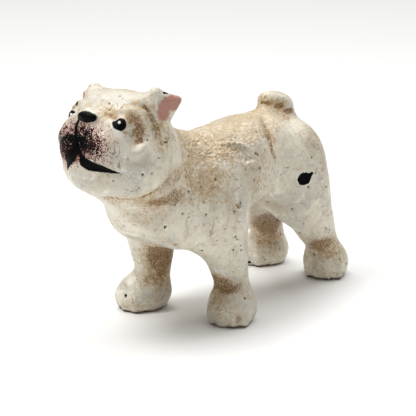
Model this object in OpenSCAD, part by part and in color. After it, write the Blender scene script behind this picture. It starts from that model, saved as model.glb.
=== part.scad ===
// Standing bulldog figurine: two hollow iron half castings that meet on the
// middle plane, located by two cast pegs and clamped by two slotted screws.
// Nose towards -Y, the dog's left is +X, soles on Z = 0.

/* [Figure] */
// Overall length, nose to hind paws
figure_len = 132.6; // [107:0.2:159]
// Overall height, soles to the top of the left ear
figure_high = 86.2; // [69:0.2:103]
// Overall width across the front paws
figure_wide = 52.4; // [43:0.2:62]

/* [Casting] */
// Thickness of the iron round the hollow
wall = 3; // [2:0.1:4.5]
// Clearance between the two halves along the parting plane
parting_gap = 0.1; // [0:0.05:0.3]

/* [Screws] */
// Diameter of the screw shank
screw_d = 4; // [3:0.1:5]
// Diameter of the slotted screw head
head_d = 7.5; // [6.5:0.1:9]
// Height of the domed screw head
head_high = 2.2; // [1.6:0.1:3]
// Width of the screwdriver slot
slot_wide = 1.2; // [0.8:0.1:1.6]
// Depth of the screwdriver slot
slot_deep = 1.2; // [0.8:0.1:1.4]
// Length of shank that threads into the left casting
thread_len = 9; // [6:0.5:11]
// Clearance all round a screw in the right casting
screw_gap = 0.2; // [0.1:0.05:0.4]
// Clearance all round the shank in its threaded hole
thread_gap = 0.05; // [0.02:0.01:0.1]
// How far a screw head sits below the flank
head_sink = 0.3; // [0:0.1:1]

/* [Bosses and pegs] */
// Iron left round a screw hole or a peg socket inside its boss
boss_wall = 2.4; // [1.6:0.1:3.2]
// Diameter of a locating peg
peg_d = 3.6; // [2.4:0.1:5]
// How far a peg stands into the right casting
peg_len = 3; // [2:0.1:4]
// Clearance all round a peg in its socket
peg_gap = 0.2; // [0.1:0.05:0.4]

/* [Hidden] */
LEFT = 1;
RIGHT = -1;
ROUND = 20;          // facets round an organic lump
FAR = 200;           // longer than the figure in any direction
paint = [0.88, 0.85, 0.77];
steel = [0.45, 0.44, 0.42];

// The points and radii below draw the dog at this size, and at() stretches
// them to the overall sizes asked for.
drawn_len = 132.6;
drawn_high = 86.2;
drawn_wide = 52.4;
stretch = [figure_wide / drawn_wide, figure_len / drawn_len, figure_high / drawn_high];
function at(p) = [p[0] * stretch[0], p[1] * stretch[1], p[2] * stretch[2]];
function sized(r, skin) = [for (i = [0 : 2]) r[i] * stretch[i] - skin];

// Trunk and neck: [point on the middle plane, radius], the trunk from the
// throat back to the rump
trunk = [[[0, -39, 53], 13.5], [[0, -24, 47], 16.5], [[0, -13, 45], 19.5],
         [[0, 1.5, 48], 17.2], [[0, 19.5, 51.5], 15.8], [[0, 35, 49], 16.5]];
neck = [[[0, -41, 62], 13], [[0, -24.5, 52], 15.5]];

// Lumps: [centre, half sizes]. Those with an X are on both sides.
shoulder = [[12.5, -17, 42], [8.5, 13, 17]];
haunch = [[9, 36, 42.5], [10, 15.5, 17]];
breast = [[8.5, -31, 43], [9, 11, 13]];
skull = [[0, -46, 67.5], [18, 15.5, 15]];
forehead = [[0, -48, 76.8], [13.5, 9.5, 7]];
jowl = [[10, -47.5, 60.5], [10, 13, 12]];
muzzle = [[6, -56.5, 67], [8.6, 9.6, 8.8]];
chin = [[0, -57, 59.5], [11, 9.6, 8.3]];
nose = [[0, -60.2, 77], [4.6, 3, 2.6]];
brow = [[9.5, -52.5, 77.3], [5.4, 4.8, 3.6]];
tail = [[0, 37.6, 66.8], [6.8, 8.7, 5.5]];
tail_tilt = -18;

// Folded ears: [point, radius] from inside the head to the root,
// the tip and the lower corner
left_ear = [[[10.5, -46.5, 80], 4.5], [[13.8, -45.6, 84], 2.1], [[19.3, -40.8, 82.4], 1.4],
            [[17, -44, 75.5], 1.4]];
right_ear = [[[-10, -46.5, 79.5], 4.5], [[-12.2, -46, 82.9], 2.1], [[-17.6, -44.4, 80.6], 1.4],
             [[-16, -45, 75.5], 1.4]];

// Legs from the body down: [point, radius], then the paw as a lump.
// The left hind paw stands nearer the middle than the right one, as on the real stance.
left_fore = [[[13.5, -13.5, 38], 10], [[14.2, -10.5, 25], 8],
             [[14.2, -7, 14], 6.3], [[15, -7.6, 8], 7]];
left_fore_paw = [[16.3, -9.3, 5], [9, 10.4, 8]];
right_fore = [[[-14, -18.5, 38], 10], [[-14.6, -16.2, 25], 8.6],
              [[-15.2, -15, 14], 6.6], [[-16, -15.5, 8], 7.2]];
right_fore_paw = [[-17.6, -17.6, 5], [9, 10.4, 8]];
left_hind = [[[11, 38, 36], 10.5], [[11.4, 45.6, 24], 8.3],
             [[10.4, 53.3, 14], 6.4], [[10.3, 55.6, 8], 7.3]];
left_hind_paw = [[10.8, 56.4, 5], [9, 10.4, 8]];
right_hind = [[[-11, 38, 36], 10.5], [[-13, 46, 24], 8.3],
              [[-15.4, 53.4, 14], 6.5], [[-16.6, 55, 8], 7.3]];
right_hind_paw = [[-17.6, 54.6, 5], [9, 10.4, 8]];
toe_out = 25;        // each paw points this far outwards

// A screw runs across the dog at the thickest point of its shoulder or haunch
function flank(lump) = (lump[0][0] + lump[1][0]) * stretch[0];
function seat(lump) = flank(lump) - head_sink - head_high;
function across(lump) = [0, at(lump[0])[1], at(lump[0])[2]];
head_peg = [0, -47, 63];
loin_peg = [0, 10.5, 50];

screw_boss_r = max(screw_d / 2 + screw_gap, head_d / 2 + screw_gap - 1) + boss_wall;
peg_boss_r = peg_d / 2 + peg_gap + boss_wall;
blind_extra = 1.5;   // hole left beyond the end of the shank

module ball(spot, skin) {
    translate(at(spot[0]))
        scale(sized([spot[1], spot[1], spot[1]], skin))
            sphere(1, $fn = ROUND);
}

module lump(shape, skin = 0, side = LEFT, turn = [0, 0, 0]) {
    translate(at([side * shape[0][0], shape[0][1], shape[0][2]]))
        rotate(turn)
            scale(sized(shape[1], skin))
                sphere(1, $fn = ROUND);
}

module limb(spots, skin = 0) {
    for (i = [0 : len(spots) - 2])
        hull() {
            ball(spots[i], skin);
            ball(spots[i + 1], skin);
        }
}

module ear(spots) {
    hull()
        for (spot = spots) ball(spot, 0);
}

module leg(spots, paw, side) {
    limb(spots);
    lump(paw, turn = [0, 0, side * toe_out]);
}

// Body and head as one swollen form, drawn in by skin for the hollow
module core(side, skin = 0) {
    limb(trunk, skin);
    limb(neck, skin);
    for (shape = [skull, chin]) lump(shape, skin);
    for (shape = [shoulder, haunch, breast, jowl, muzzle]) lump(shape, skin, side);
}

module outside(side) {
    core(side);
    for (shape = [forehead, nose]) lump(shape);
    lump(brow, 0, side);
    lump(tail, turn = [tail_tilt, 0, 0]);
    if (side == LEFT) {
        ear(left_ear);
        leg(left_fore, left_fore_paw, side);
        leg(left_hind, left_hind_paw, side);
    } else {
        ear(right_ear);
        leg(right_fore, right_fore_paw, side);
        leg(right_hind, right_hind_paw, side);
    }
}

// Rod along X from the parting plane out to one side
module rod(place, r, reach, side) {
    translate(place)
        rotate([0, side * 90, 0])
            cylinder(h = reach, r = r, $fn = ROUND);
}

module bosses(side) {
    for (shape = [shoulder, haunch]) rod(across(shape), screw_boss_r, FAR, side);
    for (place = [head_peg, loin_peg]) rod(at(place), peg_boss_r, FAR, side);
}

// Everything on the far side of this casting's parting face, and below the soles
module cut_away(side) {
    near = side * parting_gap / 2;
    translate([near - (side == LEFT ? FAR : 0), -FAR / 2, -FAR / 2])
        cube(FAR);
    translate([-FAR / 2, -FAR / 2, -FAR])
        cube(FAR);
}

module shell(side) {
    difference() {
        outside(side);
        difference() {
            core(side, wall);
            bosses(side);
        }
        cut_away(side);
        children();
    }
}

module left_casting() {
    color(paint) {
        shell(LEFT)
            for (shape = [shoulder, haunch])
                rod(across(shape), screw_d / 2 + thread_gap, thread_len + blind_extra, LEFT);
        for (place = [head_peg, loin_peg])
            translate([-peg_len, 0, 0])
                rod(at(place), peg_d / 2, peg_len + wall, LEFT);
    }
}

module right_casting() {
    color(paint)
        shell(RIGHT) {
            for (shape = [shoulder, haunch]) {
                rod(across(shape), screw_d / 2 + screw_gap, FAR, RIGHT);
                translate([-seat(shape), 0, 0])
                    rod(across(shape), head_d / 2 + screw_gap, FAR, RIGHT);
            }
            for (place = [head_peg, loin_peg])
                rod(at(place), peg_d / 2 + peg_gap, peg_len + peg_gap + parting_gap, RIGHT);
        }
}

// Round head: a cap cut from a ball, with a slot across it
module screw(shape) {
    dome_r = (pow(head_d / 2, 2) + pow(head_high, 2)) / (2 * head_high);
    translate(across(shape))
        translate([-seat(shape), 0, 0])
            rotate([0, 90, 0]) {
                cylinder(h = seat(shape) + thread_len, r = screw_d / 2, $fn = 48);
                difference() {
                    translate([0, 0, dome_r - head_high])
                        sphere(dome_r, $fn = 64);
                    cylinder(h = FAR, r = FAR / 2, $fn = 48);
                    translate([-FAR / 2, -slot_wide / 2, -head_high - FAR + slot_deep])
                        cube([FAR, slot_wide, FAR]);
                }
            }
}

module shoulder_screw() {
    color(steel) screw(shoulder);
}

module haunch_screw() {
    color(steel) screw(haunch);
}

left_casting();
right_casting();
shoulder_screw();
haunch_screw();
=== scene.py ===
import bmesh
import bpy
import math
import numpy as np
from mathutils import Matrix, Vector


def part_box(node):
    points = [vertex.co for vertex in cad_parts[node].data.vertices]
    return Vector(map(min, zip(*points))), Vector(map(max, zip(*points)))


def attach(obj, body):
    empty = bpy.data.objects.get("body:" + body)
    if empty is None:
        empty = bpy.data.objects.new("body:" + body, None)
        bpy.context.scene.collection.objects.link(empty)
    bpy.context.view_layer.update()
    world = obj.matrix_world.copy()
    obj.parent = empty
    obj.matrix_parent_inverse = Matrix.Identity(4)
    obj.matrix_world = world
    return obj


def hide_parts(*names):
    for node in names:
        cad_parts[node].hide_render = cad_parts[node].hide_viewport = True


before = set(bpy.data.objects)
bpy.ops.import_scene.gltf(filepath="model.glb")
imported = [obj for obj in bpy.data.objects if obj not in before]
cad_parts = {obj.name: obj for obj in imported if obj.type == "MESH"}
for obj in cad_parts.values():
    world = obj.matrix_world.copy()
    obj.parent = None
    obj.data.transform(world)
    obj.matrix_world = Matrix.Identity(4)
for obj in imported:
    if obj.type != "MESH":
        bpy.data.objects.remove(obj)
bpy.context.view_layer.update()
mm = 0.001
leftSide, rightSide = 1, -1
bothSides = (leftSide, rightSide)
sculptStep = 0.48
farAway = 99.0
sharpAngle = math.radians(50)


# The dog is sculpted like clay: a grid holds, at each point, the distance to the
# surface in millimetres, negative inside. Lumps and limbs are pressed on or cut
# out of it, softly, and a skin is drawn over it at the end.
class Clay:
    def __init__(self, low, high, step):
        self.low = np.array(low, float)
        self.step = step
        self.count = np.ceil((np.array(high) - self.low) / step).astype(int) + 1
        self.depth = np.full(self.count, 20.0, np.float32)

    def window(self, low, high):
        first = np.maximum(np.floor((np.array(low) - self.low) / self.step).astype(int), 0)
        last = np.ceil((np.array(high) - self.low) / self.step).astype(int) + 1
        last = np.minimum(last, self.count)
        if np.any(last <= first):
            return None
        part = tuple(slice(first[i], last[i]) for i in range(3))
        x, y, z = [(self.low[i] + np.arange(first[i], last[i]) * self.step).astype(np.float32)
                   for i in range(3)]
        return part, x[:, None, None], y[None, :, None], z[None, None, :]

    def press(self, part, shape, soft, cut):
        sign = -1 if cut else 1
        old = self.depth[part] * sign
        new = np.minimum(old, shape)
        if soft > 0:
            near = np.maximum(soft - np.abs(old - shape), 0) / soft
            new = new - near * near * soft * 0.25
        self.depth[part] = new * sign

    def lump(self, centre, half, turn=(0, 0, 0), soft=3, cut=False):
        centre, half = np.array(centre, float), np.array(half, float)
        axes = turnMatrix(turn)
        reach = np.sqrt(((axes * half) ** 2).sum(1)) + soft + 2 * self.step
        found = self.window(centre - reach, centre + reach)
        if found is None:
            return
        part, x, y, z = found
        x, y, z = x - centre[0], y - centre[1], z - centre[2]
        local = [(axes[0, i] * x + axes[1, i] * y + axes[2, i] * z) / half[i] for i in range(3)]
        far = np.sqrt(sum(v * v for v in local))
        steep = np.sqrt(sum((local[i] / half[i]) ** 2 for i in range(3)))
        self.press(part, far * (far - 1) / np.maximum(steep, 1e-6), soft, cut)

    def limb(self, points, radii, soft=3, cut=False):
        points, radii = np.array(points, float), np.array(radii, float)
        reach = soft + 2 * self.step
        found = self.window((points - radii[:, None]).min(0) - reach,
                            (points + radii[:, None]).max(0) + reach)
        if found is None:
            return
        part, x, y, z = found
        shape = None
        for a, b, ra, rb in zip(points[:-1], points[1:], radii[:-1], radii[1:]):
            run = b - a
            along = (x - a[0]) * run[0] + (y - a[1]) * run[1] + (z - a[2]) * run[2]
            along = np.clip(along / (run @ run), 0, 1)
            gap = np.sqrt((x - a[0] - along * run[0]) ** 2 + (y - a[1] - along * run[1]) ** 2
                          + (z - a[2] - along * run[2]) ** 2) - (ra + along * (rb - ra))
            shape = gap if shape is None else np.minimum(shape, gap)
        self.press(part, shape, soft, cut)

    def read(self, points):
        spot = (np.asarray(points, float) - self.low) / self.step
        spot = np.clip(spot, 0, self.count - 1.001)
        first = spot.astype(int)
        part = spot - first
        total = 0
        for corner in np.ndindex(2, 2, 2):
            weight = np.prod(np.where(np.array(corner), part, 1 - part), axis=-1)
            at = first + np.array(corner)
            total = total + weight * self.depth[at[..., 0], at[..., 1], at[..., 2]]
        return total


def turnMatrix(degrees):
    rx, ry, rz = np.radians(degrees)
    aboutX = np.array([[1, 0, 0], [0, math.cos(rx), -math.sin(rx)], [0, math.sin(rx), math.cos(rx)]])
    aboutY = np.array([[math.cos(ry), 0, math.sin(ry)], [0, 1, 0], [-math.sin(ry), 0, math.cos(ry)]])
    aboutZ = np.array([[math.cos(rz), -math.sin(rz), 0], [math.sin(rz), math.cos(rz), 0], [0, 0, 1]])
    return aboutZ @ aboutY @ aboutX


def flowing(spots, fine=4):
    # a smooth path through (x, y, z, radius) spots
    spots = np.array(spots, float)
    ends = np.vstack([2 * spots[0] - spots[1], spots, 2 * spots[-1] - spots[-2]])
    path = []
    for i in range(1, len(ends) - 2):
        before, a, b, after = ends[i - 1:i + 3]
        for t in np.arange(fine) / fine:
            path.append(0.5 * (2 * a + (b - before) * t
                               + (2 * before - 5 * a + 4 * b - after) * t ** 2
                               + (3 * a - before - 3 * b + after) * t ** 3))
    path = np.array(path + [ends[-2]])
    return path[:, :3], np.maximum(path[:, 3], 0.1)


def mirrored(spot, side):
    return (side * spot[0],) + tuple(spot[1:])


def pressTrunk(clay):
    clay.limb(*flowing(trunk["spine"], 8), soft=0)
    clay.limb(*flowing(trunk["neck"]), soft=6)
    for side in bothSides:
        for centre, half in trunk["muscles"]:
            clay.lump(mirrored(centre, side), half, soft=7)


def pressLegs(clay):
    for side, spots, paw in legs["all"]:
        clay.limb(*flowing(spots, 6), soft=6)
        clay.lump(paw, legs["pawHalf"], (0, 0, side * legs["toeOut"]), soft=3)


def pressToes(clay):
    for side, spots, paw in legs["all"]:
        for spread in legs["toeAngles"]:
            heading = math.radians(spread + side * legs["toeOut"])
            along = np.array([math.sin(heading), -math.cos(heading), 0])
            centre = np.array([paw[0], paw[1], legs["toeHigh"]]) + along * legs["toeReach"]
            turn = (0, 0, math.degrees(heading))
            clay.lump(centre, legs["toeHalf"], turn, soft=legs["toeSoft"])


def pressHead(clay):
    for centre, half, turn, soft in head["middle"]:
        clay.lump(centre, half, turn, soft)
    for side in bothSides:
        for centre, half, turn, soft in head["sides"]:
            rx, ry, rz = turn
            clay.lump(mirrored(centre, side), half, (rx, side * ry, side * rz), soft)


def pressEars(clay):
    for root, tip, lobe, base in ears["corners"]:
        root, tip, lobe = [np.array(corner, float) for corner in (root, tip, lobe)]
        clay.limb([base[:3], root], [base[3], ears["peak"]], soft=ears["baseSoft"])
        for t in np.linspace(0, 1, 9):
            edge = tip + (lobe - tip) * t
            clay.limb([root, edge], [ears["thick"], ears["thick"] * 0.8], soft=ears["soft"])
        clay.limb([root, lobe], [ears["rim"], ears["rim"] * 0.7], soft=ears["soft"])


def pressFace(clay):
    for side in bothSides:
        clay.lump(mirrored(face["socket"], side), face["socketHalf"], soft=2, cut=True)
        for spots, soft, cut in face["folds"]:
            clay.limb(*flowing([mirrored(spot, side) for spot in spots], 6), soft=soft, cut=cut)
        clay.lump(mirrored(face["eye"], side), face["eyeHalf"], soft=0.6)
    clay.lump(*face["nose"])
    for side in bothSides:
        clay.lump(mirrored(face["nostril"], side), face["nostrilHalf"], soft=0.5, cut=True)


def pressTail(clay):
    for centre, half, turn, soft in tail["lobes"]:
        clay.lump(centre, half, turn, soft)
    clay.limb(*flowing(tail["crease"], 6), soft=1, cut=True)


def pressRelief(clay):
    for centre, half in relief["chips"]:
        clay.lump(centre, half, soft=0, cut=True)
    for sides, spots, soft, cut in relief["strokes"]:
        for side in sides:
            clay.limb(*flowing([mirrored(spot, side) for spot in spots], 6), soft=soft, cut=cut)


trunk = {
    "spine": [(0, -35, 53, 13.5), (0, -20, 47, 16.5), (0, -9, 45, 19.3), (0, 5.5, 48, 17.2),
              (0, 23.5, 51.5, 15.8), (0, 39, 49, 16.5)],
    "neck": [(0, -37, 62, 13), (0, -20.5, 52, 15.5)],
    "muscles": [((12.5, -13, 42), (8.5, 13, 17)), ((9, 40, 42.5), (10, 15.5, 17)),
                ((8.5, -27, 43), (9, 11, 13))],
}
legs = {
    "all": [
        (leftSide, [(13.5, -9.5, 38, 10), (14.2, -6.5, 25, 7.8), (14.2, -3, 14, 6.1),
                    (15, -3.6, 8, 6.8)], (16.3, -5.3, 5)),
        (rightSide, [(-14, -14.5, 38, 10), (-14.6, -12.2, 25, 8.4), (-15.2, -11, 14, 6.4),
                     (-16, -11.5, 8, 7)], (-17.6, -13.6, 5)),
        (leftSide, [(11, 42, 36, 10.5), (11.4, 49.6, 24, 8.2), (10.4, 57.3, 14, 6.3),
                    (10.3, 59.6, 8, 7.2)], (10.8, 60.4, 5)),
        (rightSide, [(-11, 42, 36, 10.5), (-13, 50, 24, 8.2), (-15.4, 57.4, 14, 6.4),
                     (-16.6, 59, 8, 7.2)], (-17.6, 58.6, 5)),
    ],
    "pawHalf": (8.7, 10, 8),
    "toeOut": 25,
    "toeAngles": (-45, -15, 15, 45),
    "toeHigh": 4,
    "toeReach": 6.2,
    "toeHalf": (2.5, 3.9, 4.9),
    "toeSoft": 1.1,
}
head = {
    "middle": [
        ((0, -42, 67.5), (17.5, 15.5, 15), (0, 0, 0), 6),      # skull
        ((0, -44, 76.8), (13, 9, 6.5), (0, 0, 0), 5),          # forehead
        ((0, -50.5, 74), (7.5, 8.5, 5), (0, 0, 0), 4),         # bridge
        ((0, -53, 59.5), (10.5, 9.5, 8), (0, 0, 0), 4),        # chin
    ],
    "sides": [
        ((10, -43.5, 60.5), (9.8, 13, 12), (0, 0, 0), 5),      # jowl
        ((6, -52.5, 67), (8.2, 9.3, 8.5), (0, 0, 0), 3),       # muzzle pad
        ((9.5, -48.5, 77.3), (5, 4.5, 3.2), (0, 0, 0), 3),     # brow
    ],
}
face = {
    "socket": (11.6, -55.6, 76.4),
    "socketHalf": (4, 2.8, 3.2),
    "eye": (10.2, -52.2, 75.4),
    "eyeHalf": (2.9, 2.8, 2.8),
    "nose": ((-0.2, -57.4, 77.3), (4.2, 2.4, 1.8), (-10, 0, 0), 0.8),
    "nostril": (2, -59.7, 76.6),
    "nostrilHalf": (0.8, 0.8, 0.5),
    "folds": [
        # hollow that runs from the outer corner of the eye down the cheek
        ([(6.5, -55.4, 79.2, 0.8), (9.5, -54.8, 79, 1.6), (12.8, -53.2, 78.6, 2.2),
          (15, -51.8, 76.4, 2.5), (16, -51.4, 73.4, 2.4), (16.6, -50.9, 71, 1.4)], 1.6, True),
        # roll beside the muzzle, with a hook at its lower end
        ([(2.6, -55, 78.5, 0.9), (5.1, -55.3, 77.6, 1.3), (7.8, -56, 75.4, 1.6),
          (10.3, -56.2, 72.9, 1.7), (12.4, -56.1, 70.4, 1.6), (14, -55.3, 68.3, 1.5),
          (15.5, -53.7, 67.1, 1.4), (16.6, -51.9, 67.9, 1.2), (16.9, -51.1, 69.3, 0.7)], 1.8, False),
        # folds between the cheek and the ear
        ([(12.5, -45.6, 81, 0.3), (14.4, -45.4, 78.5, 0.5), (16.2, -44, 74.5, 0.6),
          (17.6, -42.6, 71, 0.3)], 1.8, True),
        ([(15.6, -47, 76.6, 0.4), (16.9, -45.4, 72.5, 0.6), (18, -43.4, 68.5, 0.3)], 1.6, True),
        # lip line
        ([(0, -61.6, 68, 0.5), (1.8, -61.7, 64.8, 0.9), (5.3, -61.7, 62.7, 1),
          (8.7, -60.4, 61.7, 0.8), (12.5, -57.4, 60.6, 0.3)], 1, True),
        # wrinkles of the brow, and between the nose and the eye
        ([(5.4, -51.8, 81.4, 0.3), (8.4, -50.6, 81.4, 0.6), (11.4, -48.6, 81.2, 0.7),
          (13.2, -47, 80, 0.4)], 1.2, True),
        ([(4.6, -54.6, 80, 0.3), (6, -55.2, 79, 0.7), (7.2, -55.6, 78, 0.4)], 0.8, True),
        ([(14.4, -49.6, 78.2, 0.4), (15.8, -48.6, 76, 0.7), (16.4, -48.2, 73.6, 0.4)], 0.9, False),
        # low swelling below the corner of the mouth
        ([(8.6, -58.3, 58.6, 0.5), (10.6, -57.3, 59.3, 0.7), (12.6, -55.9, 58.8, 0.5)], 1.4, False),
        # crease under the jaw and behind the cheek
        ([(2, -50.3, 49.3, 0.5), (10.4, -50.3, 49.8, 1), (16.4, -47.4, 52, 1.3),
          (19.2, -42, 55, 1.4), (20.4, -37, 60, 1.3), (19.8, -34.6, 65.5, 1.1),
          (18.6, -34.5, 71, 0.7)], 3, True),
    ],
}
ears = {
    "corners": [
        ((13.8, -41.6, 84), (19.3, -36.8, 82.4), (17, -40, 75.5), (8.6, -42.6, 75.6, 7.6)),
        ((-12.2, -42, 82.9), (-17.6, -40.4, 80.6), (-16, -41, 75.5), (-7.6, -43, 75, 7.8)),
    ],
    "peak": 1.7,
    "baseSoft": 5,
    "thick": 1.2,
    "rim": 1.3,
    "soft": 1.2,
}
tail = {
    "lobes": [((0, 41.5, 64.5), (7, 9, 4), (-18, 0, 0), 2),
              ((0, 40.8, 68.6), (6.3, 8, 4), (-18, 0, 0), 0.8)],
    "crease": [(-3, 33, 69.3, 0.5), (1.4, 33.4, 69.6, 0.9), (4, 34.8, 69.2, 1.1), (5.7, 36.8, 68.1, 1.3),
               (6.8, 39.8, 66.8, 1.4), (7.1, 43, 65.2, 1.3), (6, 47, 63.8, 1), (2.5, 50, 62.8, 0.6)],
}
relief = {
    "chips": [((20.3, 33.2, 44.1), (1.7, 2.3, 2)), ((20.6, 35.8, 45.3), (1.5, 1.6, 0.9)),
              ((-17.6, -23.2, 6.9), (0.8, 1.2, 1.1))],
    "strokes": [
        (bothSides, [(3.4, 28.8, 67, 0.5), (8, 24.5, 65.4, 1), (12, 21.2, 62, 1.2),
                     (15.2, 19.4, 56.5, 1), (16.4, 20.4, 52, 0.4)], 2.4, True),    # flank crease
        ((leftSide,), [(10, -6.5, 61.8, 0.4), (11, -3, 61.4, 0.8), (11.8, 0.5, 60.9, 1.1),
                       (12.4, 4, 60, 1), (13.8, 6.2, 58.8, 0.4)], 1, False),         # lock of hair
        ((leftSide,), [(17.3, 0.6, 53.4, 0.4), (16.9, 3.2, 54.4, 0.6), (16.6, 6.5, 54, 0.6),
                       (16.5, 9.5, 52, 0.5), (16.4, 11.5, 48.5, 0.3)], 0.7, False),  # arc
        ((leftSide,), [(21.2, -13, 50, 0.4), (22.6, -12, 45.5, 0.7), (22.6, -9.5, 42.5, 0.8),
                       (21.6, -7, 47, 0.4)], 0.9, True),                             # groove
    ],
}


def soften(clay, spread):
    # evens out the clay over about this many millimetres
    depth = clay.depth
    for _ in range(int(round(2 * (spread / clay.step) ** 2))):
        for axis in range(3):
            before, middle, after = [[slice(None)] * 3 for _ in range(3)]
            before[axis], middle[axis], after[axis] = slice(0, -2), slice(1, -1), slice(2, None)
            smooth = depth.copy()
            smooth[tuple(middle)] = (0.5 * depth[tuple(middle)] + 0.25 * depth[tuple(before)]
                                     + 0.25 * depth[tuple(after)])
            depth = smooth
    clay.depth = depth


def levelSoles(clay):
    part, x, y, z = clay.window((-40, -80, -10), (40, 80, 2))
    clay.depth[part] = np.maximum(clay.depth[part], -z)


def sculptDog(step):
    clay = Clay((-30, -70, -3), (30, 76, 90), step)
    pressTrunk(clay)
    pressHead(clay)
    pressTail(clay)
    pressLegs(clay)
    soften(clay, 1.1)
    pressToes(clay)
    pressEars(clay)
    pressFace(clay)
    pressRelief(clay)
    soften(clay, 0.3)
    levelSoles(clay)
    return clay


def drawSkin(depth, low, step):
    # a corner in each cell the surface runs through, a face across each grid line it crosses
    inside = depth < 0
    cells = [n - 1 for n in depth.shape]
    full = np.zeros(cells, np.int8)
    for corner in np.ndindex(2, 2, 2):
        full += inside[tuple(slice(c, c + n) for c, n in zip(corner, cells))]
    crossed = (full > 0) & (full < 8)
    cell = np.argwhere(crossed)
    number = np.full(cells, -1, np.int32)
    number[crossed] = np.arange(len(cell))
    place, crossings = np.zeros((len(cell), 3)), np.zeros(len(cell))
    for axis in range(3):
        for corner in np.ndindex(2, 2, 2):
            if corner[axis]:
                continue
            start = cell + corner
            end = start.copy()
            end[:, axis] += 1
            a, b = depth[tuple(start.T)], depth[tuple(end.T)]
            cut = (a < 0) != (b < 0)
            spot = np.tile(np.array(corner, float), (len(cell), 1))
            spot[:, axis] = a / np.where(cut, a - b, 1)
            place[cut] += spot[cut]
            crossings[cut] += 1
    corners = (cell + place / crossings[:, None]) * step + low
    faces = []
    for axis in range(3):
        u, v = (axis + 1) % 3, (axis + 2) % 3
        here, there = [slice(1, -1)] * 3, [slice(1, -1)] * 3
        here[axis], there[axis] = slice(0, -1), slice(1, None)
        here, there = inside[tuple(here)], inside[tuple(there)]
        edge = np.argwhere(here != there)
        outward = here[tuple(edge.T)]
        edge[:, u] += 1
        edge[:, v] += 1
        ring = []
        for back in ((1, 1), (0, 1), (0, 0), (1, 0)):
            around = edge.copy()
            around[:, u] -= back[0]
            around[:, v] -= back[1]
            ring.append(number[tuple(around.T)])
        ring = np.stack(ring, 1)
        ring[~outward] = ring[~outward][:, ::-1]
        faces.append(ring)
    return corners, np.vstack(faces)


def makePiece(name, corners, faces):
    mesh = bpy.data.meshes.new(name)
    mesh.vertices.add(len(corners))
    mesh.vertices.foreach_set("co", np.asarray(corners, np.float32).ravel())
    mesh.loops.add(faces.size)
    mesh.loops.foreach_set("vertex_index", np.asarray(faces, np.int32).ravel())
    mesh.polygons.add(len(faces))
    mesh.polygons.foreach_set("loop_start", np.arange(0, faces.size, faces.shape[1], dtype=np.int32))
    mesh.update(calc_edges=True)
    piece = bpy.data.objects.new(name, mesh)
    bpy.context.scene.collection.objects.link(piece)
    return piece


def corners(piece):
    spots = np.empty(len(piece.data.vertices) * 3, np.float32)
    piece.data.vertices.foreach_get("co", spots)
    return spots.reshape(-1, 3).astype(float)


def moveCorners(piece, spots):
    piece.data.vertices.foreach_set("co", np.asarray(spots, np.float32).ravel())
    piece.data.update()


def settle(piece):
    # turns what the modifiers show into the piece's plain mesh
    shown = piece.evaluated_get(bpy.context.evaluated_depsgraph_get())
    mesh = bpy.data.meshes.new_from_object(shown)
    piece.modifiers.clear()
    piece.data = mesh


def carve(piece, tool, how="DIFFERENCE"):
    cut = piece.modifiers.new("carve", "BOOLEAN")
    cut.object = tool
    cut.operation = how
    cut.solver = "MANIFOLD"
    settle(piece)
    bpy.data.objects.remove(tool)


def makeRod(middle, radius, fromX, toX, sides=48):
    # a closed round bar along X
    turn = np.arange(sides) * 2 * math.pi / sides
    ring = np.stack([np.zeros(sides), np.cos(turn) * radius, np.sin(turn) * radius], 1)
    spots = np.vstack([ring + (fromX, *middle), ring + (toX, *middle),
                       [(fromX, *middle), (toX, *middle)]])
    mesh = bpy.data.meshes.new("rod")
    faces = []
    for i in range(sides):
        j = (i + 1) % sides
        faces += [(i, i + sides, j + sides, j), (2 * sides, i, j), (2 * sides + 1, j + sides, i + sides)]
    mesh.from_pydata(spots.tolist(), [], faces)
    rod = bpy.data.objects.new("rod", mesh)
    bpy.context.scene.collection.objects.link(rod)
    faceOutwards(rod)
    return rod


def makeBlock(low, high):
    spots = [[(low, high)[pick[i]][i] for i in range(3)] for pick in np.ndindex(2, 2, 2)]
    faces = [(0, 1, 3, 2), (4, 6, 7, 5), (0, 4, 5, 1), (2, 3, 7, 6), (0, 2, 6, 4), (1, 5, 7, 3)]
    mesh = bpy.data.meshes.new("block")
    mesh.from_pydata(spots, [], faces)
    block = bpy.data.objects.new("block", mesh)
    bpy.context.scene.collection.objects.link(block)
    faceOutwards(block)
    return block


def faceOutwards(piece):
    shape = bmesh.new()
    shape.from_mesh(piece.data)
    bmesh.ops.recalc_face_normals(shape, faces=shape.faces)
    shape.to_mesh(piece.data)
    shape.free()


casting = {
    "wall": 3,
    "gap": 0.1,              # between the two parting faces
    "backShift": 4.0,        # moves the sculpture to stand centred
    "proud": (0.12, 0.32),   # step at the parting line, at the back and down the throat
    "proudReach": 2.6,
    "headHigh": 2.2,
    "headRoom": 0.2,
    "holeRoom": (0.05, 0.2),     # thread and clearance hole
    "screwRadius": 2,
    "bossWall": 2.4,
    "blindExtra": 1.5,
    "pegs": ((-47, 63), (10.5, 50)),
    "pegRadius": 1.8,
    "pegLong": 3,
    "pegRoom": 0.2,
    "throatBack": -14, "throatTop": 64, "throatSoft": 8,
    "far": 60,
}


def screwPlaces():
    # middle, seat of the head and end of the shank, from the fitted screws
    places = []
    for name in ("shoulder_screw", "haunch_screw"):
        low, high = [np.array(corner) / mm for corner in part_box(name)]
        middle = ((low[1] + high[1]) / 2, (low[2] + high[2]) / 2)
        places.append((middle, low[0] + casting["headHigh"], high[0], (high[1] - low[1]) / 2))
    return places


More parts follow.
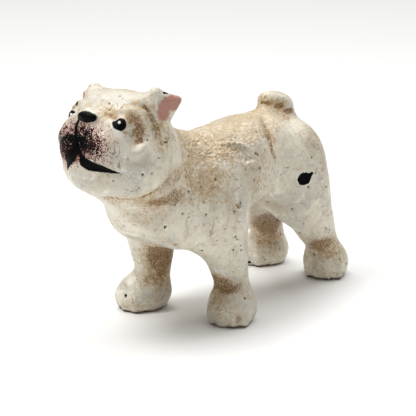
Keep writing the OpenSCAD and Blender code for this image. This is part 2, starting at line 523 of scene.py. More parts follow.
def hollowOut(clay):
    # the space left inside the body, head and legs, with a boss round each screw and peg
    every = 2 if clay.step < 0.9 else 1
    depth = clay.depth[::every, ::every, ::every] + casting["wall"]
    x, y, z = [clay.low[i] + np.arange(depth.shape[i]) * clay.step * every for i in range(3)]
    y = y[:, None] - casting["backShift"]
    bosses = [(middle, headRadius + casting["headRoom"] - 1 + casting["bossWall"])
              for middle, seat, end, headRadius in screwPlaces()]
    bosses += [(peg, casting["pegRadius"] + casting["pegRoom"] + casting["bossWall"])
               for peg in casting["pegs"]]
    for (middleY, middleZ), radius in bosses:
        boss = np.hypot(y - middleY, z - middleZ) - radius
        depth = np.maximum(depth, -boss[None, :, :])
    return drawSkin(depth, clay.low, clay.step * every)


def throatLine(x, y, z):
    # how far the left casting stands proud at the parting line
    soft = casting["throatSoft"]
    front = np.clip((casting["throatBack"] - y) / soft, 0, 1)
    front = front * np.clip((casting["throatTop"] - z) / soft, 0, 1)
    least, most = casting["proud"]
    return (least + (most - least) * front) * np.exp(-(x / casting["proudReach"]) ** 2)


def castHalf(name, clay, hollow, side):
    depth = clay.depth.copy()
    x, y, z = [clay.low[i] + np.arange(depth.shape[i]) * clay.step for i in range(3)]
    if side == leftSide:
        depth -= throatLine(x[:, None, None], y[None, :, None], z[None, None, :])
        depth = np.maximum(depth, -z)
    kept = np.nonzero(x * side > -3 * clay.step)[0]
    depth = depth[kept[0]:kept[-1] + 1]
    depth[[0, -1]] = np.maximum(depth[[0, -1]], 1)
    spots, faces = drawSkin(depth, (x[kept[0]], y[0], z[0]), clay.step)
    shift = (0, -casting["backShift"], 0)
    half = makePiece(name, spots + shift, faces)
    far = casting["far"]
    edge = side * casting["gap"] / 2
    inner, outer = sorted((edge, side * far))
    carve(half, makeBlock((inner, -2 * far, -1), (outer, 2 * far, 2 * far)), "INTERSECT")
    carve(half, makePiece("core", hollow[0] + shift, hollow[1]))
    for middle, seat, end, headRadius in screwPlaces():
        if side == rightSide:
            carve(half, makeRod(middle, casting["screwRadius"] + casting["holeRoom"][1], -far, 1))
            carve(half, makeRod(middle, headRadius + casting["headRoom"], -far, seat))
        else:
            carve(half, makeRod(middle, casting["screwRadius"] + casting["holeRoom"][0], -1,
                                end + casting["blindExtra"]))
    for peg in casting["pegs"]:
        long = casting["pegLong"]
        if side == leftSide:
            carve(half, makeRod(peg, casting["pegRadius"], -long, casting["wall"]), "UNION")
        else:
            room = casting["pegRoom"]
            carve(half, makeRod(peg, casting["pegRadius"] + room, -long - room - casting["gap"], 1))
    print(name, len(half.data.vertices), "corners")
    return half


clay = sculptDog(sculptStep)
print("clay pressed")
hollow = hollowOut(clay)


# Where each paint goes, in the sculpture's millimetres, as lumps (middle, half
# sizes) and brush strokes (x, y, z, radius). A corner keeps how far it is from
# the nearest edge, so the finish can feather and break that edge.
paintPlaces = {
    "black": {
        "lumps": [((-0.3, -58.6, 77.4), (4.3, 4.2, 1.75))],
        "bothStrokes": [[(10.6, -55, 75.9, 2.2), (10.7, -55, 75.9, 2.2)]],
        "strokes": [
            [(-1.5, -60.8, 68.4, 0.5), (-0.6, -61.2, 65.6, 0.9), (1, -61.3, 63.8, 1.4),
             (4.2, -61.2, 62.9, 1.55), (8.2, -59.9, 62.4, 1.25), (10.4, -58.4, 61.6, 0.7),
             (12.4, -56.9, 61, 0.12)],
            [(-1.7, -60.8, 68.2, 0.7), (-3.2, -61.2, 66.2, 1.6), (-5, -61.2, 64.2, 1.9),
             (-6.4, -60.7, 62, 1.3), (-7.3, -60.2, 59.8, 0.3)],
            [(-4.2, -58.2, 76.4, 1.1), (-4.4, -58.6, 74.6, 0.8), (-3.4, -60, 71.6, 0.5),
             (-1.8, -60.8, 68.4, 0.7)],
            [(-10.4, -52.8, 79.4, 0.6), (-12, -50.3, 79.4, 0.8), (-13.2, -48.2, 78.8, 0.4)],
        ],
    },
    # pale: a painted highlight dot in the middle of each eye, and a pale line along the upper edge of the
    # near lip
    "pale": {
        "lumps": [],
        "bothStrokes": [[(10.35, -54.9, 76.5, 0.5), (10.45, -54.8, 76.5, 0.5)]],
        "strokes": [[(0.6, -61.3, 66.5, 0.35), (2.6, -61.6, 65, 0.4), (5, -61.4, 64.6, 0.25)]],
    },
    "pink": {
        "lumps": [((18.5, -39.2, 81.6), (2.4, 3.4, 2.9)), ((17.1, -41.6, 79), (1.9, 2.4, 3.4)),
                  ((-17.4, -42.6, 79.6), (1.6, 2.6, 2.8)), ((-7.5, -61, 65.5), (2.4, 2.4, 2.6)),
                  ((-12.5, -58, 64), (3, 3, 3.4))],
        "bothStrokes": [],
        "strokes": [],
    },
    "stipple": {
        "lumps": [((-2, -60.5, 69.8), (6.5, 6, 4.6)), ((-7, -59, 68), (6, 6, 4.4)),
                  ((3.4, -60.5, 69), (4.6, 5, 3.2))],
        "bothStrokes": [],
        "strokes": [],
    },
    "chip": {
        "lumps": [((18.6, 33.2, 43.8), (2.9, 2.8, 2.4)), ((19.4, 35.2, 44.7), (1.6, 1.6, 0.8)),
                  ((19.6, 36.8, 45.2), (1.2, 0.7, 0.5)), ((12.9, -36.5, 39.6), (0.4, 0.4, 0.7)),
                  ((-17.7, -22.7, 6.2), (0.6, 0.6, 1)), ((22.4, -9, 28.8), (0.25, 0.25, 0.4)),
                  ((22.2, -8.2, 27.1), (0.4, 0.4, 0.6)), ((16.8, -40.3, 84.3), (0.9, 0.8, 0.4)),
                  ((20.1, 61.6, 5.4), (0.8, 1, 1)), ((19.6, 63.6, 3), (0.7, 0.9, 0.8)),
                  ((17.8, 54.4, 0.8), (1.2, 0.8, 0.6)), ((-18.1, 49.3, 1.7), (1, 0.8, 0.7)),
                  ((-20, -22.4, 2), (1, 0.8, 0.7))],
        "bothStrokes": [],
        "strokes": [],
    },
}
# Soft patches where a thin brown or tan wash has settled, together with painted shade: the tan and brown
# patches under the belly, on the inner sides of the two far legs and in the hollow beside the eye stand
# for shade; middle, half sizes, strength
washAndShadePatches = {
    "tan": [
        ((9, -14, 61), (14, 22, 10), 1), ((6, 12, 65), (14, 26, 8), 0.85),
        ((0, -24, 66), (18, 8, 9), 0.95), ((-10, -5, 62), (12, 26, 10), 0.85),
        ((0, 33, 67), (13, 9, 7), 0.95), ((0, 41, 71), (7, 9, 4), 0.5),
        ((12, -48, 79), (7, 6, 5), 0.75), ((-12, -48, 79), (7, 6, 5), 0.75),
        ((0, -40, 83), (14, 9, 3), 0.5), ((16, 5, 50), (8, 16, 12), 0.55),
        ((16, -20, 52), (9, 14, 9), 0.85), ((0, 58, 52), (16, 7, 14), 0.5),
        ((17, 0, 34), (8, 10, 8), 0.45), ((16, 42, 58), (6, 9, 7), 0.5),
        ((8, -46, 52), (14, 10, 6), 0.7), ((0, 15, 33), (16, 26, 5), 0.7),
        ((6, -54.5, 79), (4, 4, 3), 0.9), ((17, -42, 70), (5, 6, 9), 0.6),
        ((8, -40, 44), (12, 8, 8), 0.55), ((14, -14, 10), (9, 9, 6), 0.7),
        ((14, 56, 12), (9, 9, 7), 0.85), ((-10, -14, 18), (7, 9, 12), 0.8),
        ((-10, 50, 16), (8, 10, 12), 0.9), ((19, 46, 50), (4, 7, 8), 0.5),
        ((11, -59, 58), (6, 4, 4), 0.5),
    ],
    "brown": [
        ((19, -38, 57), (5, 9, 4.6), 0.95), ((14, -41, 49.5), (6, 8, 3), 1.35),
        ((0, -50, 49), (8, 4, 3), 0.7), ((-17, -40, 55), (6, 9, 5), 0.75),
        ((16, -36, 50), (6, 6, 4), 1.1), ((15.4, -30, 59), (4, 6, 8), 0.55),
        ((13, -51.6, 77.4), (3, 3, 2.2), 1.5), ((14.4, -50, 74), (2, 3, 3.4), 1.5),
        ((14.9, -50.8, 70.4), (1.5, 1.8, 1.5), 1.5), ((6.8, -55.4, 78.8), (2.2, 2, 1.5), 1.6),
        ((17.4, -43.6, 73), (2, 3, 4), 0.6), ((-3.5, -53.1, 80.1), (3, 3, 2), 0.7),
        ((-12.8, -52.4, 77.6), (3.6, 3, 2.8), 0.95), ((10.4, -48.4, 81.6), (3.4, 2.6, 1.2), 0.55),
        ((12.4, -10, 14.4), (7, 8, 3), 2.2), ((17.4, -7, 12.6), (5, 7, 3), 1.4),
        ((-8, -15, 21), (4.5, 8, 14), 1.6), ((-12, -14, 12), (6, 8, 4), 1.0),
        ((-7, 47, 20), (7, 11, 12), 1.9), ((16, 50, 14.5), (7, 8, 4.4), 1.5),
        ((-14, -10, 13), (7, 7, 5), 0.6), ((-13, 53, 13), (7, 7, 6), 0.9),
        ((1.4, 33.4, 69.4), (3, 2, 1), 1.7), ((5, 36.2, 68.3), (2, 2.6, 1.2), 1.8),
        ((6.6, 41, 66), (1.6, 4.4, 1.2), 1.8), ((7, 38, 64), (3, 5, 2), 0.8),
        ((12.5, 21, 61), (4, 3, 7), 0.7), ((22.3, -14, 44), (1.6, 3, 6), 0.7),
        ((0, 10, 31), (14, 20, 3), 0.6), ((23.6, -11.3, 3.6), (1.4, 1.6, 2.6), 1.2),
        ((17, -15, 3), (4, 3, 3), 0.5), ((-14, -24, 4), (5, 4, 3), 0.5), ((-8, 34, 32), (8, 5, 6), 0.8),
        ((22, 13, 40), (3, 5, 5), 0.4), ((16, 52, 3), (6, 4, 2.6), 0.6),
        ((15.4, 12, 57), (2, 7, 3), 0.5),
    ],
}


def lumpGap(spots, centre, half):
    local = (spots - np.array(centre, float)) / np.array(half, float)
    far = np.linalg.norm(local, axis=1)
    steep = np.linalg.norm(local / np.array(half, float), axis=1)
    return far * (far - 1) / np.maximum(steep, 1e-6)


def strokeGap(spots, path, radii):
    gap = np.full(len(spots), farAway)
    for a, b, ra, rb in zip(path[:-1], path[1:], radii[:-1], radii[1:]):
        run = b - a
        along = np.clip((spots - a) @ run / max(run @ run, 1e-9), 0, 1)
        here = np.linalg.norm(spots - a - along[:, None] * run, axis=1) - (ra + along * (rb - ra))
        gap = np.minimum(gap, here)
    return gap


def edgeOf(spots, places):
    gap = np.full(len(spots), farAway)
    for centre, half in places["lumps"]:
        gap = np.minimum(gap, lumpGap(spots, centre, half))
    strokes = list(places["strokes"])
    for stroke in places["bothStrokes"]:
        strokes += [[mirrored(spot, side) for spot in stroke] for side in bothSides]
    for stroke in strokes:
        path, radii = flowing(stroke, 6)
        gap = np.minimum(gap, strokeGap(spots, path, radii))
    return np.clip(gap, -6, 6)


def patchAmount(spots, patches):
    amount = np.zeros(len(spots))
    for centre, half, strength in patches:
        far = np.linalg.norm((spots - np.array(centre, float)) / np.array(half, float), axis=1)
        amount = np.maximum(amount, strength * np.clip(1.5 - far, 0, 1) ** 1.5)
    return amount


def keep(piece, name, values):
    layer = piece.data.attributes.new(name, "FLOAT", "POINT")
    layer.data.foreach_set("value", np.asarray(values, np.float32))


def markPaint(piece, clay, broad):
    spots = corners(piece) + (0, casting["backShift"], 0)
    for name, places in paintPlaces.items():
        keep(piece, name, edgeOf(spots, places))
    for name, patches in washAndShadePatches.items():
        keep(piece, name, patchAmount(spots, patches))
    near = clay.read(spots)
    keep(piece, "hollow", np.clip(near - broad.read(spots), -1, 1))     # above 0 in creases
    keep(piece, "outer", np.clip(1 + near / 0.6, 0, 1))                 # 0 on the inside of the shell
    keep(piece, "height", spots[:, 2])
    keep(piece, "fur", patchAmount(spots, skinDetail["furPatches"]) * np.clip(1 + near / 0.6, 0, 1))


def broadClay(clay):
    # the same clay evened out over a few millimetres
    every = 2 if clay.step < 0.9 else 1
    broad = Clay(clay.low, clay.low + (clay.count - 1) * clay.step, clay.step * every)
    part = clay.depth[::every, ::every, ::every]
    broad.count = np.array(part.shape)
    broad.depth = part.copy()
    soften(broad, 1.8)
    return broad


# Wavy surface, carved hair and small pits of the sand-cast skin
skinDetail = {
    "furPatches": [((10, -8, 60), (12, 22, 9), 1), ((-10, -8, 60), (12, 22, 9), 1),
                   ((0, -20, 64), (14, 10, 8), 0.8), ((10, -30, 46), (10, 8, 10), 0.5),
                   ((-10, -30, 46), (10, 8, 10), 0.5)],
    "Wave": 0.7, "Wave Size": 7.0,
    "Hair": 0.24, "Hair Size": 3.4,
    "Pit Density": 0.022, "Pit Radius": 0.62, "Pit Depth": 0.4,
    "Seed": 11,
}


class Plan:
    # builds a node tree with short calls
    def __init__(self, tree):
        self.tree = tree
        self.column = 0

    def node(self, kind, inputs=(), **settings):
        made = self.tree.nodes.new(kind)
        self.column += 1
        made.location = (self.column * 170, -(self.column % 4) * 160)
        for name, value in settings.items():
            setattr(made, name, value)
        for key, value in dict(inputs).items():
            if isinstance(value, bpy.types.NodeSocket):
                self.tree.links.new(value, made.inputs[key])
            else:
                made.inputs[key].default_value = value
        return made

    def math(self, operation, a, b=0.0, c=0.0, clamp=False):
        inputs = {0: a, 1: b, 2: c}
        return self.node("ShaderNodeMath", inputs, operation=operation, use_clamp=clamp).outputs[0]

    def vector(self, operation, a, b=(0, 0, 0)):
        return self.node("ShaderNodeVectorMath", {0: a, 1: b}, operation=operation).outputs[0]

    def scaled(self, a, size):
        inputs = {0: a, "Scale": size}
        return self.node("ShaderNodeVectorMath", inputs, operation="SCALE").outputs[0]

    def times(self, a, b):
        return self.math("MULTIPLY", a, b)

    def plus(self, a, b):
        return self.math("ADD", a, b)

    def larger(self, a, b):
        return self.math("MAXIMUM", a, b)

    def between(self, value, low, high, fromZero=0.0, toOne=1.0, smooth=True):
        inputs = {0: value, 1: low, 2: high, 3: fromZero, 4: toOne}
        kind = "SMOOTHSTEP" if smooth else "LINEAR"
        return self.node("ShaderNodeMapRange", inputs, interpolation_type=kind).outputs[0]

    def noise(self, place, scale, detail=2.0, rough=0.5, twist=0.0, output=0):
        inputs = {"Vector": place, "Scale": scale, "Detail": detail, "Roughness": rough,
                  "Distortion": twist}
        return self.node("ShaderNodeTexNoise", inputs).outputs[output]


def growSkin():
    tree = bpy.data.node_groups.new("castSkin", "GeometryNodeTree")
    face = tree.interface
    face.new_socket("Geometry", in_out="INPUT", socket_type="NodeSocketGeometry")
    for name in ("Wave", "Wave Size", "Hair", "Hair Size", "Pit Density", "Pit Radius", "Pit Depth"):
        face.new_socket(name, in_out="INPUT", socket_type="NodeSocketFloat")
    face.new_socket("Seed", in_out="INPUT", socket_type="NodeSocketInt")
    face.new_socket("Paint", in_out="INPUT", socket_type="NodeSocketMaterial")
    face.new_socket("Geometry", in_out="OUTPUT", socket_type="NodeSocketGeometry")
    plan = Plan(tree)
    given = tree.nodes.new("NodeGroupInput").outputs
    place = plan.node("GeometryNodeInputPosition").outputs[0]
    normal = plan.node("GeometryNodeInputNormal").outputs[0]
    outer = plan.node("GeometryNodeInputNamedAttribute", {"Name": "outer"}).outputs[0]
    fur = plan.node("GeometryNodeInputNamedAttribute", {"Name": "fur"}).outputs[0]
    # slow waves left by the pattern maker's knife
    waveSize = plan.math("DIVIDE", 1.0, given["Wave Size"])
    wave = plan.noise(place, waveSize, 3.0)
    wave = plan.times(plan.math("SUBTRACT", wave, 0.5), given["Wave"])
    # hair: bands between the levels of a twisted noise
    hairSize = plan.math("DIVIDE", 1.0, given["Hair Size"])
    strands = plan.vector("MULTIPLY", place, (1.2, 0.5, 1.2))
    bands = plan.noise(strands, hairSize, 2.0, 0.45, 1.2)
    bands = plan.math("SINE", plan.times(bands, 42.0))
    hair = plan.times(plan.times(bands, given["Hair"]), fur)
    # pits: the skin sinks near points scattered over it
    scatter = plan.node("GeometryNodeDistributePointsOnFaces",
                        {"Mesh": given["Geometry"], "Density": given["Pit Density"],
                         "Seed": given["Seed"]})
    reach = plan.node("GeometryNodeProximity", {"Geometry": scatter.outputs[0], "Sample Position": place},
                      target_element="POINTS").outputs["Distance"]
    size = plan.noise(place, 0.35, 0.0)
    size = plan.times(given["Pit Radius"], plan.between(size, 0.4, 0.7, 0.2, 1.4))
    pit = plan.math("SUBTRACT", 1.0, plan.math("DIVIDE", reach, size), clamp=True)
    sink = plan.times(plan.math("POWER", pit, 0.7), given["Pit Depth"])
    lift = plan.times(outer, plan.math("SUBTRACT", plan.plus(wave, hair), sink))
    marked = plan.node("GeometryNodeStoreNamedAttribute",
                       {"Geometry": given["Geometry"], "Name": "pit", "Value": pit},
                       data_type="FLOAT", domain="POINT")
    marked = plan.node("GeometryNodeStoreNamedAttribute",
                       {"Geometry": marked.outputs[0], "Name": "hair", "Value": plan.times(bands, fur)},
                       data_type="FLOAT", domain="POINT")
    moved = plan.node("GeometryNodeSetPosition",
                      {"Geometry": marked.outputs[0], "Offset": plan.scaled(normal, lift)})
    real = plan.node("GeometryNodeRealizeInstances", {"Geometry": moved.outputs[0]})
    painted = plan.node("GeometryNodeSetMaterial",
                        {"Geometry": real.outputs[0], "Material": given["Paint"]})
    result = tree.nodes.new("NodeGroupOutput")
    tree.links.new(painted.outputs[0], result.inputs[0])
    return tree


def giveSkin(piece, tree, paint, seedShift):
    skin = piece.modifiers.new("castSkin", "NODES")
    skin.node_group = tree
    for socket in tree.interface.items_tree:
        if socket.in_out == "INPUT" and socket.name in skinDetail:
            value = skinDetail[socket.name]
            skin[socket.identifier] = value + seedShift if socket.name == "Seed" else value
        elif socket.name == "Paint":
            skin[socket.identifier] = paint
    settle(piece)


creamPaint = {
    "cream": (0.75, 0.70, 0.58, 1), "grey": (0.55, 0.53, 0.46, 1), "white": (0.87, 0.84, 0.76, 1),
    "tan": (0.44, 0.295, 0.135, 1), "ochre": (0.45, 0.29, 0.13, 1),
    "umber": (0.17, 0.08, 0.02, 1), "brown": (0.105, 0.042, 0.012, 1), "blue": (0.24, 0.27, 0.30, 1),
    "black": (0.003, 0.003, 0.0032, 1), "maroon": (0.032, 0.003, 0.006, 1), "pink": (0.45, 0.20, 0.155,
        1),
    "iron": (0.0035, 0.0033, 0.0035, 1), "bareInside": (0.05, 0.035, 0.028, 1),
    "coat": 0.05, "coatRoughness": 0.25, "shine": 0.28, "blackShine": 0.04,
}
screwSteel = {"color": (0.33, 0.31, 0.28, 1), "rust": (0.16, 0.07, 0.03, 1), "roughness": 0.42}


def newMaterial(name):
    material = bpy.data.materials.new(name)
    material.use_nodes = True
    material.node_tree.nodes.clear()
    plan = Plan(material.node_tree)
    shader = plan.node("ShaderNodeBsdfPrincipled")
    result = plan.node("ShaderNodeOutputMaterial")
    plan.tree.links.new(shader.outputs[0], result.inputs[0])
    return material, plan, shader


def mixed(plan, share, a, b):
    return plan.node("ShaderNodeMix", {0: share, 6: a, 7: b}, data_type="RGBA").outputs[2]


def read(plan, name):
    return plan.node("ShaderNodeAttribute", attribute_name=name).outputs["Fac"]


def makeCreamPaint():
    material, plan, shader = newMaterial("creamPaintOnIron")
    tone = creamPaint
    place = plan.node("ShaderNodeTexCoord").outputs["Object"]
    place = plan.scaled(place, 1000.0)      # millimetres
    broad = plan.noise(place, 0.05, 3.0, 0.6, 0.6)
    middle = plan.noise(place, 0.22, 4.0, 0.62, 0.8)
    fine = plan.noise(place, 0.9, 3.0, 0.6)
    grain = plan.noise(place, 2.6, 2.0, 0.55)
    speckle = plan.noise(place, 1.3, 4.0, 0.7, 0.8)
    # worn cream with greyer, whiter and yellower clouds
    colour = mixed(plan, plan.times(plan.between(broad, 0.42, 0.62), 0.8), tone["cream"], tone["grey"])
    colour = mixed(plan, plan.times(plan.between(middle, 0.52, 0.7), 0.75), colour, tone["white"])
    blue = plan.noise(plan.vector("ADD", place, (40, 7, 3)), 0.11, 3.0, 0.7, 1.4)
    colour = mixed(plan, plan.times(plan.between(blue, 0.58, 0.72), 0.4), colour, tone["blue"])
    stain = plan.noise(plan.vector("ADD", place, (5, 60, 17)), 0.13, 5.0, 0.7, 1.0)
    swirl = plan.noise(plan.vector("ADD", place, (12, 4, 90)), 0.36, 4.0, 0.72, 2.4)
    stain = plan.larger(plan.between(stain, 0.46, 0.68),
                        plan.times(plan.between(swirl, 0.53, 0.66), 0.75))
    stain = plan.times(stain, plan.between(fine, 0.3, 0.7, 0.35, 1.0))
    # tan wash over the back, thinner in places and gathered between the hairs; under the belly and on the
    # far legs the tan is painted shade
    reach = plan.between(read(plan, "tan"), 0.0, 0.3)
    cloud = plan.plus(plan.times(middle, 0.6), plan.times(fine, 0.4))
    uneven = plan.times(plan.math("SUBTRACT", cloud, 0.5), 2.8)
    tanWashAndShade = plan.math("MULTIPLY_ADD", reach, uneven, read(plan, "tan"))
    tanWashAndShade = plan.times(plan.between(tanWashAndShade, 0.08, 0.95), plan.between(fine, 0.28, 0.66, 0.45, 1.0))
    tanWashAndShade = plan.larger(plan.times(tanWashAndShade, 0.85), plan.times(stain, 0.62))
    colour = mixed(plan, tanWashAndShade, colour, tone["tan"])
    # brown settled in creases and low places, and painted shade: the brown under the belly, on the inner
    # sides of the far legs and in the hollow beside the eye
    crease = plan.between(read(plan, "hollow"), 0.03, 0.3)
    crease = plan.times(crease, plan.between(fine, 0.3, 0.62, 0.35, 1.0))
    hair = plan.times(plan.between(read(plan, "hair"), -0.15, -0.9), plan.between(fine, 0.35, 0.6))
    reach = plan.between(read(plan, "brown"), 0.0, 0.3)
    dirtAndShade = plan.math("MULTIPLY_ADD", reach, uneven, read(plan, "brown"))
    dirtAndShade = plan.times(plan.between(dirtAndShade, 0.1, 1.4, 0.0, 1.0, False),
                      plan.between(grain, 0.34, 0.6, 0.5, 1.0))
    dirtAndShade = plan.larger(plan.times(crease, 0.75), plan.times(dirtAndShade, 0.9))
    dirtAndShade = plan.larger(dirtAndShade, plan.times(hair, 0.5))
    colour = mixed(plan, plan.between(dirtAndShade, 0.0, 0.9, 0.0, 0.8, False), colour, tone["ochre"])
    colour = mixed(plan, plan.between(dirtAndShade, 0.3, 0.95, 0.0, 0.85), colour, tone["umber"])
    dirtAndShade = plan.times(plan.between(dirtAndShade, 0.5, 1.0), plan.between(speckle, 0.49, 0.6))
    # hair-fine scratches: thin lines where a twisted noise crosses its middle
    for shift, scale in (((3, 9, 21), 0.11), ((31, 2, 8), 0.17)):
        line = plan.noise(plan.vector("ADD", place, shift), scale, 1.0, 0.5, 2.2)
        line = plan.math("ABSOLUTE", plan.math("SUBTRACT", line, 0.5))
        line = plan.between(line, 0.012, 0.002)
        patch = plan.noise(plan.vector("ADD", place, (shift[1], shift[2], 55)), 0.13, 2.0)
        line = plan.times(line, plan.between(patch, 0.48, 0.6))
        dirtAndShade = plan.larger(dirtAndShade, plan.times(line, 0.6))
    # pits hold dark brown
    pit = plan.between(read(plan, "pit"), 0.25, 0.6)
    dirtAndShade = plan.larger(dirtAndShade, plan.times(pit, 0.9))
    specks = plan.node("ShaderNodeTexVoronoi", {"Vector": place, "Scale": 0.5, "Randomness": 1.0})
    picked = plan.node("ShaderNodeSeparateColor", {0: specks.outputs["Color"]})
    size = plan.between(picked.outputs[0], 0.62, 1.0, 0.0, 0.17, False)
    speck = plan.between(specks.outputs["Distance"], plan.plus(size, 0.01), size)
    patch = plan.noise(plan.vector("ADD", place, (80, 3, 9)), 0.07, 2.0)
    speck = plan.times(speck, plan.math("GREATER_THAN", picked.outputs[0], 0.6))
    speck = plan.times(speck, plan.between(patch, 0.42, 0.54))
    dirtAndShade = plan.larger(dirtAndShade, plan.times(speck, 0.8))
    # brown within about 2 mm of the ground, with a wavy upper edge
    sole = plan.between(plan.plus(read(plan, "height"), plan.times(middle, 2.0)), 2.4, 1.2)
    dirtAndShade = plan.larger(dirtAndShade, sole)
    # the heavy brown, partly dirt and partly painted shade
    colour = mixed(plan, dirtAndShade, colour, tone["brown"])
    # pink, then the sponged muzzle, then black, then the pale dabs: a painted highlight in each eye and a
    # pale line along the near lip
    ragged = plan.times(plan.math("SUBTRACT", middle, 0.5), 1.8)
    roughEdge = plan.times(plan.math("SUBTRACT", fine, 0.5), 0.7)
    pink = plan.between(plan.plus(read(plan, "pink"), ragged), 0.5, -0.5)
    flush = mixed(plan, plan.between(grain, 0.5, 0.7, 0.0, 0.6), tone["pink"], tone["brown"])
    colour = mixed(plan, plan.times(pink, 0.9), colour, flush)
    reach = read(plan, "stipple")
    haze = plan.times(plan.between(reach, 6.0, -1.0, 0.0, 0.75), plan.between(fine, 0.3, 0.6, 0.4, 1.0))
    colour = mixed(plan, haze, colour, tone["pink"])
    dense = plan.between(reach, 6.2, -3.6, 0.0, 1.0, False)
    dots = plan.plus(plan.times(plan.noise(place, 2.2, 2.0, 0.6), 0.7),
                     plan.times(plan.noise(place, 0.7, 2.0, 0.5), 0.3))
    level = plan.math("SUBTRACT", 0.65, plan.times(dense, 0.3))
    sponge = plan.between(dots, level, plan.plus(level, 0.035))
    sponge = plan.times(sponge, plan.between(dense, 0.01, 0.08))
    inner = plan.plus(dense, plan.times(plan.math("SUBTRACT", middle, 0.5), 1.2))
    dark = mixed(plan, plan.between(inner, 0.6, 0.95), tone["maroon"], tone["black"])
    colour = mixed(plan, sponge, colour, dark)
    black = plan.between(plan.plus(read(plan, "black"), plan.times(roughEdge, 0.7)), 0.14, -0.14)
    colour = mixed(plan, black, colour, tone["black"])
    # painted highlight: a white dot in each eye, plus the pale line along the near lip
    pale = plan.between(read(plan, "pale"), 0.15, -0.1)
    colour = mixed(plan, plan.times(pale, 0.85), colour, tone["white"])
    # chips down to black iron, with a pale broken rim
    jag = plan.times(plan.math("SUBTRACT", plan.noise(place, 0.9, 3.0, 0.7), 0.5), 1.7)
    jag = plan.plus(jag, plan.times(plan.math("SUBTRACT", grain, 0.5), 1.2))
    chipEdge = plan.plus(read(plan, "chip"), jag)
    rim = plan.times(plan.between(chipEdge, 0.8, 0.3), 0.5)
    colour = mixed(plan, rim, colour, tone["white"])
    chip = plan.between(chipEdge, 0.06, -0.06)
    colour = mixed(plan, chip, colour, tone["iron"])
    colour = mixed(plan, plan.between(read(plan, "outer"), 0.6, 0.3), colour, tone["bareInside"])
    plan.tree.links.new(colour, shader.inputs["Base Color"])
    rough = plan.plus(0.30, plan.times(fine, 0.25))
    rough = plan.plus(rough, plan.times(plan.larger(dirtAndShade, chip), 0.3))
    rough = plan.math("SUBTRACT", rough, plan.times(black, 0.04), clamp=True)
    plan.tree.links.new(rough, shader.inputs["Roughness"])
    dull = plan.larger(plan.larger(black, chip), plan.times(sponge, 0.8))
    shine = plan.between(dull, 0.0, 1.0, tone["shine"], tone["blackShine"])
    plan.tree.links.new(shine, shader.inputs["Specular IOR Level"])
    plan.tree.links.new(plan.between(dull, 0.0, 1.0, tone["coat"], 0.0), shader.inputs["Coat Weight"])
    shader.inputs["Coat Roughness"].default_value = tone["coatRoughness"]
    # brush marks, orange peel and the edges of the chips
    relief = plan.plus(plan.times(middle, 0.5), plan.times(fine, 0.16))
    relief = plan.plus(relief, plan.times(grain, 0.05))
    relief = plan.math("SUBTRACT", relief, plan.times(chip, 0.35))
    relief = plan.math("SUBTRACT", relief, plan.times(speck, 0.12))
    bump = plan.node("ShaderNodeBump", {"Strength": 0.7, "Distance": 0.0005, "Height": relief})
    plan.tree.links.new(bump.outputs[0], shader.inputs["Normal"])
    return material


def makeScrewSteel():
    material, plan, shader = newMaterial("screwSteel")
    place = plan.scaled(plan.node("ShaderNodeTexCoord").outputs["Object"], 1000.0)
    cloud = plan.noise(place, 0.6, 4.0, 0.65)
    grain = plan.noise(plan.vector("MULTIPLY", place, (1, 1, 9)), 2.0, 3.0)
    colour = mixed(plan, plan.between(cloud, 0.5, 0.72), screwSteel["color"], screwSteel["rust"])
    plan.tree.links.new(colour, shader.inputs["Base Color"])
    rough = plan.plus(screwSteel["roughness"], plan.times(cloud, 0.2))
    plan.tree.links.new(rough, shader.inputs["Roughness"])
    metal = plan.between(cloud, 0.75, 0.5, 0.2, 1.0)
    plan.tree.links.new(metal, shader.inputs["Metallic"])
    bump = plan.node("ShaderNodeBump", {"Strength": 0.5, "Distance": 0.0001, "Height": grain})
    plan.tree.links.new(bump.outputs[0], shader.inputs["Normal"])
    return material


def standLevel(piece):
    # nothing reaches below the ground after the skin has moved
    spots = corners(piece)
    spots[:, 2] = np.maximum(spots[:, 2], 0)
    moveCorners(piece, spots)


def finishPiece(piece, node, material):
    piece.data.transform(Matrix.Scale(mm, 4))
    piece.data.materials.clear()
    piece.data.materials.append(material)
    piece.data.polygons.foreach_set("material_index", [0] * len(piece.data.polygons))
    piece.data.shade_smooth()
    piece.data.set_sharp_from_angle(angle=sharpAngle)
    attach(piece, "root")
    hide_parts(node)


paint = makeCreamPaint()
steel = makeScrewSteel()
tree = growSkin()
broad = broadClay(clay)
for name, side, node in (("leftCasting", leftSide, "left_casting"),
                         ("rightCasting", rightSide, "right_casting")):
    half = castHalf(name, clay, hollow, side)
    markPaint(half, clay, broad)
    giveSkin(half, tree, paint, side)
    standLevel(half)
    finishPiece(half, node, paint)
    print(name, "painted")


screw = {
    "headHigh": 2.2, "slotWide": 1.2, "slotDeep": 1.2, "edge": 0.25,
    "shank": 2.0, "threadDeep": 0.35, "pitch": 0.9, "threadLong": 9.0, "sides": 64,
}


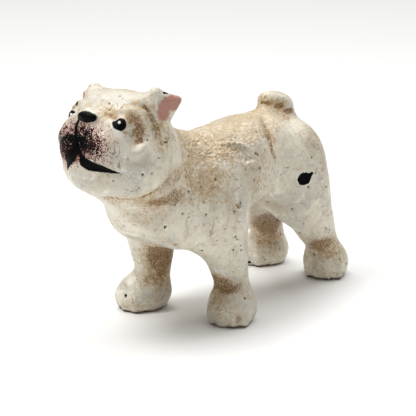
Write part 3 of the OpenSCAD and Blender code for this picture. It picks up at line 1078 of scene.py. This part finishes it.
def makeScrew(name, node):
    low, high = [np.array(corner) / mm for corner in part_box(node)]
    middle = ((low[1] + high[1]) / 2, (low[2] + high[2]) / 2)
    radius = (high[1] - low[1]) / 2
    seat = low[0] + screw["headHigh"]
    # turned profile from the top of the dome to the tip: (x, radius)
    dome = (radius ** 2 + screw["headHigh"] ** 2) / (2 * screw["headHigh"])
    profile = []
    for rise in np.linspace(0.02, 1, 14):
        turn = rise * math.asin(radius / dome)
        profile.append((low[0] + dome * (1 - math.cos(turn)), dome * math.sin(turn)))
    profile += [(seat, radius - screw["edge"]), (seat, screw["shank"])]
    profile += [(x, screw["shank"]) for x in np.arange(seat + 1, high[0] - screw["threadLong"], 1.5)]
    steps = 8
    for x in np.arange(high[0] - screw["threadLong"], high[0] - 0.6, screw["pitch"] / steps):
        profile.append((x, screw["shank"]))
    profile += [(high[0] - 0.4, screw["shank"] - 0.35), (high[0], screw["shank"] - 0.8)]
    sides = screw["sides"]
    spots, faces = [], []
    threadStart = high[0] - screw["threadLong"]
    for x, reach in profile:
        for i in range(sides):
            turn = i * 2 * math.pi / sides
            here = reach
            if threadStart <= x <= high[0] - 0.6:
                phase = ((x - threadStart) / screw["pitch"] - i / sides) % 1
                fade = min(1, (x - threadStart) / screw["pitch"])
                here = reach - screw["threadDeep"] * fade * abs(2 * phase - 1)
            spots.append((x, middle[0] + here * math.cos(turn), middle[1] + here * math.sin(turn)))
    for ring in range(len(profile) - 1):
        for i in range(sides):
            j = (i + 1) % sides
            a = ring * sides
            faces.append((a + i, a + j, a + sides + j, a + sides + i))
    spots += [(low[0], *middle), (high[0], *middle)]
    last = (len(profile) - 1) * sides
    for i in range(sides):
        j = (i + 1) % sides
        faces.append((len(spots) - 2, j, i))
        faces.append((len(spots) - 1, last + i, last + j))
    mesh = bpy.data.meshes.new(name)
    mesh.from_pydata(spots, [], faces)
    piece = bpy.data.objects.new(name, mesh)
    bpy.context.scene.collection.objects.link(piece)
    faceOutwards(piece)
    wide = screw["slotWide"] / 2
    carve(piece, makeBlock((low[0] - 1, middle[0] - 6, middle[1] - wide),
                           (low[0] + screw["slotDeep"], middle[0] + 6, middle[1] + wide)))
    finishPiece(piece, node, steel)


makeScrew("shoulderScrew", "shoulder_screw")
makeScrew("haunchScrew", "haunch_screw")
print("screws made")


view = {
    "turn": 39.1, "rise": 14.5, "far": 456, "target": (9.7, -14.5, 40.2),
    "across": 141.4, "sensor": 36,
}
lights = {
    "key": ((-160, -300, 560), 260, 2.4), "fill": ((460, -330, 240), 300, 0.2),
    "back": ((120, 460, 420), 240, 0.5), "overhead": ((-380, 470, 2000), 2800, 58), "world": 0.15,
}


def makeStage():
    mesh = bpy.data.meshes.new("floor")
    reach = 3.0
    mesh.from_pydata([(-reach, -reach, 0), (reach, -reach, 0), (reach, reach, 0), (-reach, reach, 0)],
                     [], [(0, 1, 2, 3)])
    floor = bpy.data.objects.new("floor", mesh)
    bpy.context.scene.collection.objects.link(floor)
    material, plan, shader = newMaterial("paleFloor")
    shader.inputs["Base Color"].default_value = (0.86, 0.86, 0.85, 1)
    shader.inputs["Roughness"].default_value = 0.85
    mesh.materials.append(material)


def makeLight(name, place, size, power):
    lamp = bpy.data.lights.new(name, "AREA")
    lamp.energy = power
    lamp.size = size * mm
    light = bpy.data.objects.new(name, lamp)
    light.location = Vector(place) * mm
    aim = Vector((0, 0, 0.04)) - light.location
    light.rotation_euler = aim.to_track_quat("-Z", "Y").to_euler()
    bpy.context.scene.collection.objects.link(light)


def makeWorld():
    world = bpy.data.worlds.new("studio")
    world.use_nodes = True
    back = world.node_tree.nodes["Background"]
    back.inputs["Color"].default_value = (1, 1, 1, 1)
    back.inputs["Strength"].default_value = lights["world"]
    bpy.context.scene.world = world


def makeCamera():
    turn, rise = math.radians(view["turn"]), math.radians(view["rise"])
    back = Vector((math.sin(turn) * math.cos(rise), -math.cos(turn) * math.cos(rise), math.sin(rise)))
    lens = bpy.data.cameras.new("camera")
    lens.sensor_width = view["sensor"]
    lens.lens = view["sensor"] * view["far"] / view["across"]
    lens.clip_start = 0.01
    camera = bpy.data.objects.new("camera", lens)
    camera.location = (Vector(view["target"]) + back * view["far"]) * mm
    camera.rotation_euler = (-back).to_track_quat("-Z", "Y").to_euler()
    bpy.context.scene.collection.objects.link(camera)
    bpy.context.scene.camera = camera


makeStage()
makeWorld()
bpy.context.scene.view_settings.view_transform = "Standard"
for name in ("key", "fill", "back", "overhead"):
    makeLight(name, *lights[name])
makeCamera()
print("stage set")
